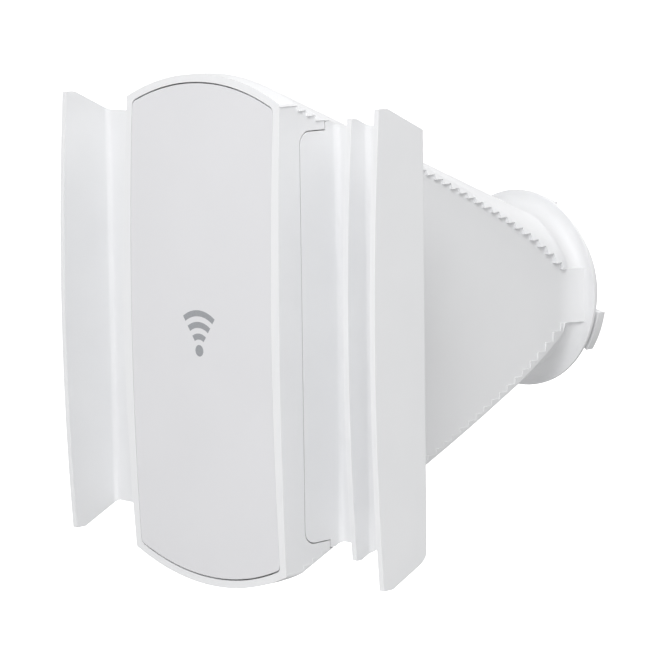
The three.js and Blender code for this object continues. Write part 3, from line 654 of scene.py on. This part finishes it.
def rounded_corner(before, corner, after, radius, points=8):
    tip = Vector(corner)
    a = (Vector(before) - tip).normalized()
    b = (Vector(after) - tip).normalized()
    half = a.angle(b) / 2
    centre = tip + (a + b).normalized() * radius / math.sin(half)
    start = tip + a * radius / math.tan(half) - centre
    end = tip + b * radius / math.tan(half) - centre
    t0 = math.atan2(start.y, start.x)
    t1 = math.atan2(end.y, end.x)
    turn = (t1 - t0 + math.pi) % (2 * math.pi) - math.pi
    return [(centre.x + radius * math.cos(t0 + turn * i / points),
             centre.y + radius * math.sin(t0 + turn * i / points)) for i in range(points + 1)]


def fin_outline(front, half, crown, rear, upper_round, lower_round, rows=48):
    edge = []
    for i in range(rows + 1):
        z = half - 2 * half * i / rows
        edge.append((front - crown + crown * (z / half) ** 2, z))
    level = end_start(half)
    top = end_height(rear)
    low = rounded_corner((level, -half), (rear, -top), (rear, top), lower_round)
    high = rounded_corner((rear, -top), (rear, top), (level, half), upper_round)
    return [*edge, (level, -half), *low, *high, (level, half)]


def crowned_plate_outline(grow, tail, rows=40, corner_points=8):
    """Side view of the base plate: crowned front edge, rounded corners, taller rear part."""
    z = PLATE_Z + grow
    tall = PLATE_TALL_Z + grow
    step = PLATE_STEP - grow
    corner = PLATE_CORNER + grow

    def front(height):
        return PLATE_FRONT - grow - PLATE_CROWN * (1 - (height / PLATE_Z) ** 2)

    upper = []
    for i in range(rows + 1):
        height = (z - corner) * i / rows
        upper.append((front(height), height))
    base = front(z - corner)
    for i in range(1, corner_points + 1):
        t = math.pi / 2 * i / corner_points
        upper.append((base + corner * (1 - math.cos(t)), z - corner * (1 - math.sin(t))))
    upper += [(step, z), (step, tall), *tail(tall)]
    return [(a, -h) for a, h in reversed(upper[1:])] + upper


def make_choke_flange():
    """Right-hand flange: a swelling base plate, two fins and the floors between them."""
    plan = flange_plan()
    rows = 64
    reach = 112.0
    rings = []
    for j in range(rows + 1):
        z = -reach + 2 * reach * j / rows
        ring = []
        for x, behind in plan:
            share = min(1.0, max(0.0, (INNER_FIN_X - FIN - FLOOR_FILLET - x) / 10))
            swell = (bulged_side(x, z) - x) * share
            ring.append(place(x + swell, behind, z))
        rings.append(ring)
    flange = lofted("flange", rings)
    outer_rear = OUTER_FLOOR + OUTER_FLOOR_THICK
    inner_rear = INNER_FLOOR + FIN
    plate = side_slab(crowned_plate_outline(
        0, lambda tall: [(end_start(tall), tall), (inner_rear + 5, end_height(inner_rear + 5))]), 40, 54.5)
    inner = side_slab(fin_outline(
        INNER_FIN_FRONT, INNER_FIN_Z, INNER_FIN_CROWN, inner_rear + 5, 0.1, 0.1), 54.49, 75.6)
    outer = side_slab(fin_outline(
        0, OUTER_FIN_Z, OUTER_FIN_CROWN, outer_rear + 0.01, UPPER_ROUND, OUTER_FIN_CORNER), 75.59, 110)
    inner = join(inner, plate)
    common(flange, join(inner, outer))
    merge_flat(flange, 0.02)
    round_edges(flange, lambda edge, concave: 0.0 if concave else 0.55, segments=3)
    for z in CHOKE_SCREW_Z:
        join(flange, rod((CHOKE_BOSS_START, CHOKE_SCREW_BEHIND, z),
                         (RIM_HALF - FIN + 0.5, CHOKE_SCREW_BEHIND, z), CHOKE_BOSS_RADIUS))
        cut(flange, rod((CHOKE_BOSS_START - 1, CHOKE_SCREW_BEHIND, z),
                        (RIM_HALF - FIN + 1, CHOKE_SCREW_BEHIND, z), SCREW_RADIUS + CLEAR, 24))
    return flange


def make_choke_flanges():
    right = make_choke_flange()
    left = mirror_x(right)
    for flange, side in ((right, "right"), (left, "left")):
        finish_piece(flange, f"choke_flange_{side}_moulding", "horn", WHITE_SHELL,
                     [f"choke_flange_{side}"])


# --------------------------------------------------------------------------- cover


def make_cover():
    """Crowned panel over the mouth, with a softly rounded front edge."""
    panel = front_slab(mouth_outline(COVER_RADIUS, COVER_HALF, COVER_CORNER), AHEAD, 10)
    common(panel, crowned_layer(COVER_SET, COVER_THICKNESS))
    merge_flat(panel, 0.02)

    def width(edge, concave):
        depth = max(v.co.y / MM + DEPTH - RIM_CORNER + CROWN - CROWN * (v.co.z / MM / CORNER_Z) ** 2
                    for v in edge.verts)
        return COVER_EDGE if depth < 0.5 else 0.2

    round_edges(panel, width, segments=4)
    return finish_piece(panel, "radome_panel", "horn", WHITE_COVER, ["radome_cover"])


def make_mark():
    """Small generic mark on the cover: a dot with plain arcs above it, a hair proud of the panel."""
    steps = 36
    outlines = [arc(0, 0, MARK_DOT, 0, 360, steps)[:-1]]
    for radius in MARK_ARCS:
        outer = arc(0, 0, radius + MARK_STROKE / 2, *MARK_SPAN, steps)
        inner = arc(0, 0, radius - MARK_STROKE / 2, *MARK_SPAN, steps)
        outlines.append(outer + inner[::-1])
    mark = None
    for outline in outlines:
        slab = front_slab([(MARK_X + x, MARK_Z + z) for x, z in outline], AHEAD, 10)
        stroke = common(slab, crowned_layer(COVER_SET - MARK_PROUD, 0.4))
        mark = join(mark, stroke) if mark else stroke
    return finish_piece(mark, "cover_mark", "horn", GREY_INK, [])


# --------------------------------------------------------------- lock ring and collar


def on_circle(radius, angle_deg):
    t = math.radians(angle_deg)
    return radius * math.cos(t), radius * math.sin(t)


def make_lock_ring():
    """Thin ring with an inner rib, three grip lugs and three inward hooks."""
    bore = COLLAR_HEAD_RADIUS + RING_CLEAR
    rib = COLLAR_NECK_RADIUS + RING_CLEAR
    ring = turned([
        (rib, RING_FRONT), (RING_RADIUS, RING_FRONT), (RING_RADIUS, RING_LUG_END),
        (RING_REAR_RADIUS, RING_LUG_END), (RING_REAR_RADIUS, RING_REAR), (bore, RING_REAR),
        (bore, RING_FRONT + RING_RIB), (rib, RING_FRONT + RING_RIB),
    ], RING_SEGMENTS)
    inside = (bore + RING_REAR_RADIUS) / 2
    for start, end, radius in LUGS:
        join(ring, sector(inside, radius, start, end, RING_FRONT, RING_LUG_END))
    for angle in HOOK_ANGLES:
        join(ring, sector(HOOK_REACH, inside, angle - HOOK_SPAN / 2, angle + HOOK_SPAN / 2,
                          RING_REAR - HOOK_DEPTH, RING_REAR))
    merge_flat(ring, 0.02)

    def width(edge, concave):
        radius = min(math.hypot(v.co.x, v.co.z) for v in edge.verts) / MM
        along = abs(edge.verts[0].co.y - edge.verts[1].co.y) / MM
        if concave:
            return LUG_FILLET if along > 3 and radius > RING_RADIUS - 0.5 else 0.25
        return 0.7 if radius > RING_RADIUS + 1 else 0.3

    round_edges(ring, width, segments=3)
    return finish_piece(ring, "lock_ring_moulding", "ring", WHITE_COLLAR, ["lock_ring"])


def make_collar():
    """Collar in the rear flange, with the neck the ring runs on and a notched head."""
    front = FLANGE_REAR + CLEAR
    groove_in = SEAL_CIRCLE - SEAL_RADIUS - CLEAR
    groove_out = SEAL_CIRCLE + SEAL_RADIUS + CLEAR
    collar = turned([
        (GUIDE_OUTER + CLEAR, front - COLLAR_SPIGOT), (REAR_HOLE - CLEAR, front - COLLAR_SPIGOT),
        (REAR_HOLE - CLEAR, front), (COLLAR_NECK_RADIUS, front),
        (COLLAR_NECK_RADIUS, DEPTH - COLLAR_HEAD), (COLLAR_HEAD_RADIUS, DEPTH - COLLAR_HEAD),
        (COLLAR_HEAD_RADIUS, DEPTH), (groove_out, DEPTH), (groove_out, DEPTH - SEAL_GROOVE),
        (groove_in, DEPTH - SEAL_GROOVE), (groove_in, DEPTH), (GUIDE_OUTER + CLEAR, DEPTH),
    ], RING_SEGMENTS)
    for angle in HOOK_ANGLES:
        cut(collar, sector(HOOK_REACH - RING_CLEAR, FLANGE_RADIUS, angle - NOTCH_SPAN / 2,
                           angle + NOTCH_SPAN / 2, DEPTH - COLLAR_HEAD, DEPTH + 1))
    for angle in COLLAR_SCREW_ANGLES:
        x, z = on_circle(COLLAR_SCREW_CIRCLE, angle)
        cut(collar, rod((x, front - 1, z), (x, DEPTH + 1, z), SCREW_RADIUS + CLEAR))
        cut(collar, rod((x, DEPTH - SCREW_HEAD - CLEAR, z), (x, DEPTH + 1, z),
                        SCREW_HEAD_RADIUS + CLEAR, 48))
    for angle in PIN_ANGLES:
        x, z = on_circle(COLLAR_SCREW_CIRCLE, angle)
        cut(collar, rod((x, DEPTH - PIN_DEPTH, z), (x, DEPTH + 1, z), PIN_RADIUS + CLEAR))
    merge_flat(collar, 0.02)
    round_edges(collar, lambda edge, concave: 0.0 if concave else 0.25, segments=2)
    return finish_piece(collar, "rear_collar_moulding", "horn", WHITE_COLLAR,
                        ["rear_collar"])


def make_guide():
    """Waveguide tube with its front plate and a fine chamfer at the lip."""
    start = GUIDE_START
    lip = 0.3
    guide = turned([
        (GUIDE_RADIUS, start), (GUIDE_FLANGE_RADIUS, start),
        (GUIDE_FLANGE_RADIUS, start + GUIDE_FLANGE), (GUIDE_OUTER, start + GUIDE_FLANGE),
        (GUIDE_OUTER, DEPTH - lip), (GUIDE_OUTER - lip, DEPTH),
        (GUIDE_RADIUS + lip, DEPTH), (GUIDE_RADIUS, DEPTH - lip),
    ], RING_SEGMENTS)
    for angle in GUIDE_SCREW_ANGLES:
        x, z = on_circle(GUIDE_SCREW_CIRCLE, angle)
        cut(guide, rod((x, start - 1, z), (x, start + GUIDE_FLANGE + 1, z), SCREW_RADIUS + CLEAR))
    return finish_piece(guide, "throat_waveguide_casting", "horn", CAST_METAL,
                        ["throat_waveguide"])


def make_seal():
    """Round-section seal ring, sunk in the collar's groove."""
    middle = DEPTH - SEAL_GROOVE + CLEAR + SEAL_RADIUS
    sides = 20
    profile = []
    for i in range(sides):
        t = 2 * math.pi * i / sides
        profile.append((SEAL_CIRCLE + SEAL_RADIUS * math.cos(t), middle + SEAL_RADIUS * math.sin(t)))
    seal = turned(profile, SEAL_SEGMENTS)
    return finish_piece(seal, "rear_seal_ring", "horn", BLACK_RUBBER, ["rear_seal"])


def make_washer():
    middle = (FLANGE_REAR + RING_FRONT) / 2
    inner = COLLAR_NECK_RADIUS + RING_CLEAR
    outer = COLLAR_HEAD_RADIUS + RING_CLEAR
    half = WASHER_THICKNESS / 2
    washer = turned([(inner, middle - half), (outer, middle - half),
                     (outer, middle + half), (inner, middle + half)], SEAL_SEGMENTS)
    for vertex in washer.data.vertices:
        wave = math.cos(WASHER_WAVES * math.atan2(vertex.co.z, vertex.co.x))
        vertex.co.y += WASHER_LIFT * MM * wave
    return finish_piece(washer, "wave_washer_spring", "horn", STAINLESS, ["wave_washer"])


SQUARE = ((1, 1), (-1, 1), (-1, -1), (1, -1))


def cross_recess(x, z, face, size, depth):
    """Tapered cross cutter that opens at the rear face of a screw head."""
    arms = None
    for across, along in ((size, size * 0.3), (size * 0.3, size)):
        top = [place(x + sx * across, face + 0.3, z + sz * along) for sx, sz in SQUARE]
        bottom = [place(x + sx * across * 0.45, face - depth, z + sz * along * 0.7) for sx, sz in SQUARE]
        arm = prism("arm", top, bottom)
        arms = arm if arms is None else join(arms, arm)
    return arms


def screw_edge(edge, concave):
    """Well rounded at the rear face of the head, fine at its seat."""
    return 0.6 if min(v.co.y for v in edge.verts) > -SCREW_SUNK * MM - 1e-6 else 0.1


def make_collar_screws():
    """Pan heads with a cross recess, sunk in the collar's counterbores."""
    for number, angle in enumerate(COLLAR_SCREW_ANGLES, 1):
        x, z = on_circle(COLLAR_SCREW_CIRCLE, angle)
        seat = DEPTH - SCREW_HEAD
        rear = DEPTH - SCREW_SUNK
        head = rod((x, seat, z), (x, rear, z), SCREW_HEAD_RADIUS, 48)
        merge_flat(head, 0.02)
        round_edges(head, screw_edge, segments=5)
        join(head, rod((x, WEB_FRONT + CLEAR, z), (x, seat + 1, z), SCREW_RADIUS, 32))
        cut(head, cross_recess(x, z, rear, 1.7, 1.2))
        finish_piece(head, f"collar_screw_head_{number}", "horn", STAINLESS,
                     [f"collar_screw_{number}"])


def make_pins():
    """Dowels with a rounded end that stand proud of the radio face."""
    for number, angle in enumerate(PIN_ANGLES, 1):
        x, z = on_circle(COLLAR_SCREW_CIRCLE, angle)
        pin = rod((x, DEPTH - PIN_DEPTH + CLEAR, z), (x, DEPTH + PIN_PROUD, z), PIN_RADIUS, 40)
        merge_flat(pin, 0.02)
        round_edges(pin, lambda edge, concave: 0.5, segments=4)
        finish_piece(pin, f"alignment_pin_dowel_{number}", "horn", STAINLESS,
                     [f"alignment_pin_{number}"])


def make_vent():
    """Breather at the bottom of the rim: a low domed cap on a stem."""
    top = -VENT_HEAD_Z - CLEAR
    plug = rod((0, VENT_BEHIND, top - VENT_HEAD), (0, VENT_BEHIND, top), VENT_HEAD_RADIUS, 64)
    merge_flat(plug, 0.02)
    low = (top - VENT_HEAD) * MM

    def width(edge, concave):
        return 0.8 if max(v.co.z for v in edge.verts) < low + 1e-6 else 0.15

    round_edges(plug, width, segments=5)
    join(plug, rod((0, VENT_BEHIND, top - 0.5), (0, VENT_BEHIND, -BORE_RADIUS), VENT_RADIUS, 48))
    for i in range(VENT_HOLES):
        x, back = on_circle(VENT_HOLE_CIRCLE, 360 / VENT_HOLES * i)
        behind = VENT_BEHIND + back
        cut(plug, rod((x, behind, top - VENT_HEAD - 1), (x, behind, top - VENT_HEAD + 0.8),
                      VENT_HOLE_RADIUS, 16))
    cut(plug, rod((0, VENT_BEHIND, top - VENT_HEAD - 1), (0, VENT_BEHIND, -BORE_RADIUS + 1), VENT_BORE, 24))
    return finish_piece(plug, "vent_plug_cap", "horn", GREY_PLASTIC, ["vent_plug"])


# ----------------------------------------------------------------------- materials


def start_material(name):
    material = bpy.data.materials.new(name)
    material.use_nodes = True
    tree = material.node_tree
    shader = tree.nodes["Principled BSDF"]
    coords = tree.nodes.new("ShaderNodeTexCoord")
    return material, tree, shader, coords.outputs["Object"]


def noise(tree, coords, size_mm, detail=2.0, roughness=0.5):
    node = tree.nodes.new("ShaderNodeTexNoise")
    node.inputs["Scale"].default_value = 1.0 / (size_mm * MM)
    node.inputs["Detail"].default_value = detail
    node.inputs["Roughness"].default_value = roughness
    tree.links.new(coords, node.inputs["Vector"])
    return node.outputs["Fac"]


def ramp(tree, value, low, high, from_low=0.35, from_high=0.65):
    node = tree.nodes.new("ShaderNodeMapRange")
    node.inputs["From Min"].default_value = from_low
    node.inputs["From Max"].default_value = from_high
    node.inputs["To Min"].default_value = low
    node.inputs["To Max"].default_value = high
    tree.links.new(value, node.inputs["Value"])
    return node.outputs["Result"]


def blend_colours(tree, factor, first, second):
    node = tree.nodes.new("ShaderNodeMix")
    node.data_type = "RGBA"
    for socket, colour in ((6, first), (7, second)):
        if isinstance(colour, tuple):
            node.inputs[socket].default_value = (*colour, 1)
        else:
            tree.links.new(colour, node.inputs[socket])
    tree.links.new(factor, node.inputs[0])
    return node.outputs[2]


def bump(tree, height, distance_mm, strength, under=None):
    node = tree.nodes.new("ShaderNodeBump")
    node.inputs["Distance"].default_value = distance_mm * MM
    node.inputs["Strength"].default_value = strength
    tree.links.new(height, node.inputs["Height"])
    if under is not None:
        tree.links.new(under, node.inputs["Normal"])
    return node.outputs["Normal"]


def edge_highlight_mask(tree, radius_mm):
    """One along edges and creases, where a paler colour is painted on as a highlight; nothing on flat
    faces.
    """
    soft = tree.nodes.new("ShaderNodeBevel")
    soft.samples = 4
    soft.inputs["Radius"].default_value = radius_mm * MM
    geometry = tree.nodes.new("ShaderNodeNewGeometry")
    dot = tree.nodes.new("ShaderNodeVectorMath")
    dot.operation = "DOT_PRODUCT"
    tree.links.new(soft.outputs["Normal"], dot.inputs[0])
    tree.links.new(geometry.outputs["Normal"], dot.inputs[1])
    return ramp(tree, dot.outputs["Value"], 1.0, 0.0, 0.80, 0.99)


def moulded_plastic(name, base, mottled, edge_highlight_colour, roughness, grain_mm, grain_depth_mm):
    """White moulded plastic: fine eroded grain, faint mottling, and edges painted paler as a highlight."""
    material, tree, shader, coords = start_material(name)
    broad = noise(tree, coords, 55, 3.0, 0.55)
    colour = blend_colours(tree, ramp(tree, broad, 0.0, 1.0), base, mottled)
    # Painted highlight: edges and creases are blended towards a paler colour.
    edges = edge_highlight_mask(tree, 0.7)
    colour = blend_colours(tree, edges, colour, edge_highlight_colour)
    tree.links.new(colour, shader.inputs["Base Color"])
    patches = noise(tree, coords, 14, 3.0, 0.6)
    tree.links.new(ramp(tree, patches, roughness - 0.04, roughness + 0.05), shader.inputs["Roughness"])
    grain = noise(tree, coords, grain_mm, 3.0, 0.6)
    waves = noise(tree, coords, 22, 1.0, 0.4)
    normal = bump(tree, waves, 0.12, 0.35)
    normal = bump(tree, grain, grain_depth_mm, 0.5, normal)
    tree.links.new(normal, shader.inputs["Normal"])
    shader.inputs["IOR"].default_value = 1.5
    return material


def rubber(name):
    material, tree, shader, coords = start_material(name)
    dust = noise(tree, coords, 6, 4.0, 0.6)
    dusty = ramp(tree, dust, 0.0, 1.0, 0.45, 0.8)
    colour = blend_colours(tree, dusty, (0.012, 0.012, 0.013), (0.035, 0.034, 0.033))
    tree.links.new(colour, shader.inputs["Base Color"])
    tree.links.new(ramp(tree, dust, 0.62, 0.82), shader.inputs["Roughness"])
    tree.links.new(bump(tree, noise(tree, coords, 0.25, 3.0), 0.02, 0.5), shader.inputs["Normal"])
    return material


def cast_metal(name):
    """Die-cast aluminium: satin skin with fine pits and cloudy patches."""
    material, tree, shader, coords = start_material(name)
    clouds = noise(tree, coords, 9, 4.0, 0.6)
    colour = blend_colours(tree, ramp(tree, clouds, 0.0, 1.0), (0.52, 0.53, 0.54), (0.62, 0.62, 0.63))
    tree.links.new(colour, shader.inputs["Base Color"])
    shader.inputs["Metallic"].default_value = 1.0
    tree.links.new(ramp(tree, clouds, 0.34, 0.46), shader.inputs["Roughness"])
    tree.links.new(bump(tree, noise(tree, coords, 0.5, 4.0, 0.65), 0.03, 0.6), shader.inputs["Normal"])
    return material


def stainless(name):
    """Turned stainless steel with fine streaks."""
    material, tree, shader, coords = start_material(name)
    stretch = tree.nodes.new("ShaderNodeMapping")
    stretch.inputs["Scale"].default_value = (1.0, 12.0, 1.0)
    tree.links.new(coords, stretch.inputs["Vector"])
    streaks = noise(tree, stretch.outputs["Vector"], 1.2, 3.0, 0.6)
    colour = blend_colours(tree, ramp(tree, streaks, 0.0, 1.0), (0.55, 0.54, 0.53), (0.66, 0.65, 0.64))
    tree.links.new(colour, shader.inputs["Base Color"])
    shader.inputs["Metallic"].default_value = 1.0
    tree.links.new(ramp(tree, streaks, 0.22, 0.36), shader.inputs["Roughness"])
    tree.links.new(bump(tree, streaks, 0.01, 0.4), shader.inputs["Normal"])
    return material


def printed_ink(name):
    material, tree, shader, coords = start_material(name)
    speckle = noise(tree, coords, 0.5, 3.0, 0.6)
    colour = blend_colours(tree, ramp(tree, speckle, 0.0, 1.0), (0.30, 0.31, 0.33), (0.36, 0.37, 0.39))
    tree.links.new(colour, shader.inputs["Base Color"])
    tree.links.new(ramp(tree, speckle, 0.4, 0.5), shader.inputs["Roughness"])
    tree.links.new(bump(tree, speckle, 0.01, 0.4), shader.inputs["Normal"])
    return material


# name, base and mottled colours, the paler colour painted on edges as a highlight, roughness, grain size
# and grain depth in millimetres
WHITE_SHELL = moulded_plastic("white_shell", (0.835, 0.84, 0.85), (0.815, 0.82, 0.832),
                              (0.88, 0.882, 0.885), 0.46, 0.35, 0.03)
WHITE_COVER = moulded_plastic("white_cover", (0.75, 0.75, 0.768), (0.735, 0.735, 0.753),
                              (0.80, 0.805, 0.82), 0.40, 0.30, 0.02)
WHITE_COLLAR = moulded_plastic("white_collar", (0.82, 0.825, 0.835), (0.80, 0.805, 0.815),
                               (0.87, 0.872, 0.875), 0.42, 0.30, 0.02)
GREY_PLASTIC = moulded_plastic("grey_plastic", (0.27, 0.28, 0.29), (0.25, 0.26, 0.27),
                               (0.34, 0.35, 0.36), 0.55, 0.30, 0.03)
BLACK_RUBBER = rubber("black_rubber")
CAST_METAL = cast_metal("cast_metal")
STAINLESS = stainless("stainless")
GREY_INK = printed_ink("grey_ink")


def finish_piece(obj, name, body, material, replaced, sharp=32):
    obj.name = name
    obj.data.name = name
    obj.data.materials.clear()
    obj.data.materials.append(material)
    shade(obj, sharp)
    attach(obj, body)
    if replaced:
        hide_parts(*replaced)
    return obj


NODE_MATERIALS = {
    "radome_gasket": BLACK_RUBBER,
    "horn_funnel": CAST_METAL,
}


def dress_cad_nodes():
    """Hidden CAD pieces that stay as they are get the finish of their real material."""
    for name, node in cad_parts.items():
        material = NODE_MATERIALS.get(name)
        if material is None and "screw" in name:
            material = STAINLESS
        if material is not None:
            node.data.materials.clear()
            node.data.materials.append(material)


# ------------------------------------------------------------------- studio and camera


def make_backdrop():
    """Seamless white cove: a level floor that sweeps up into a round wall.

    It is seen by the camera, but lights nothing and takes no shadow.
    """
    sweep = COVE_SWEEP
    profile = [(0.0, FLOOR_Z)]
    for i in range(17):
        t = math.pi / 2 * i / 16
        profile.append((COVE_RADIUS - sweep + sweep * math.sin(t), FLOOR_Z + sweep * (1 - math.cos(t))))
    profile.append((COVE_RADIUS, COVE_HEIGHT))
    segments = 96
    verts = []
    faces = []
    for i in range(segments):
        angle = 2 * math.pi * i / segments
        verts += [(r * math.cos(angle), r * math.sin(angle), z) for r, z in profile]
    count = len(profile)
    for i in range(segments):
        a = i * count
        b = (i + 1) % segments * count
        faces += [(a + k, b + k, b + k + 1, a + k + 1) for k in range(count - 1)]
    cove = face_outward(new_object("studio_cove", verts, faces))
    cove.data.shade_smooth()
    material, tree, shader, coords = start_material("studio_cove")
    clouds = noise(tree, coords, 900, 2.0)
    colour = blend_colours(tree, clouds, (0.93, 0.93, 0.93), (0.95, 0.95, 0.95))
    tree.links.new(colour, shader.inputs["Base Color"])
    shader.inputs["Roughness"].default_value = 0.9
    shader.inputs["Emission Color"].default_value = (1, 1, 1, 1)
    shader.inputs["Emission Strength"].default_value = COVE_GLOW
    cove.data.materials.append(material)
    cove.visible_diffuse = False
    cove.visible_glossy = False
    cove.visible_transmission = False
    cove.visible_shadow = False


def make_world():
    """Soft room light that is strongest from above and in front, and weakest from below."""
    world = bpy.data.worlds.new("studio")
    bpy.context.scene.world = world
    world.use_nodes = True
    tree = world.node_tree
    background = tree.nodes["Background"]
    coords = tree.nodes.new("ShaderNodeTexCoord")
    lean = tree.nodes.new("ShaderNodeVectorMath")
    lean.operation = "DOT_PRODUCT"
    lean.inputs[1].default_value = ROOM_LEAN
    tree.links.new(coords.outputs["Generated"], lean.inputs[0])
    level = tree.nodes.new("ShaderNodeMath")
    level.operation = "ADD"
    level.inputs[1].default_value = ROOM_LEVEL
    tree.links.new(lean.outputs["Value"], level.inputs[0])
    tree.links.new(level.outputs["Value"], background.inputs["Strength"])
    background.inputs["Color"].default_value = ROOM_COLOUR


def soft_light(name, place_m, size_m, power):
    data = bpy.data.lights.new(name, "AREA")
    data.shape = "DISK"
    data.size = size_m
    data.energy = power
    light = bpy.data.objects.new(name, data)
    bpy.context.scene.collection.objects.link(light)
    light.location = place_m
    light.rotation_euler = (Vector(LIGHT_AIM) - Vector(place_m)).to_track_quat("-Z", "Y").to_euler()


def make_camera():
    azimuth = math.radians(CAMERA_AZIMUTH)
    elevation = math.radians(CAMERA_ELEVATION)
    roll = math.radians(CAMERA_ROLL)
    ahead = Vector((-math.sin(azimuth) * math.cos(elevation), math.cos(azimuth) * math.cos(elevation),
                    -math.sin(elevation)))
    level = Vector((math.cos(azimuth), math.sin(azimuth), 0))
    upright = level.cross(ahead)
    right = math.cos(roll) * level + math.sin(roll) * upright
    up = -math.sin(roll) * level + math.cos(roll) * upright
    centre = Vector(CAMERA_PIVOT) - CAMERA_DISTANCE * ahead + CAMERA_SIDE * right + CAMERA_RISE * up
    data = bpy.data.cameras.new("camera")
    data.sensor_width = 36
    data.lens = CAMERA_LENS
    data.clip_end = 100
    camera = bpy.data.objects.new("camera", data)
    bpy.context.scene.collection.objects.link(camera)
    turn = Matrix((right, up, -ahead)).transposed().to_4x4()
    camera.matrix_world = Matrix.Translation(centre) @ turn
    bpy.context.scene.camera = camera


bpy.context.scene.view_settings.view_transform = "Standard"
make_camera()
make_world()
make_backdrop()
for light in LIGHTS:
    soft_light(*light)

make_horn_body()
make_choke_flanges()
make_cover()
make_mark()
make_lock_ring()
make_collar()
make_guide()
make_seal()
make_washer()
make_collar_screws()
make_pins()
make_vent()
dress_cad_nodes()
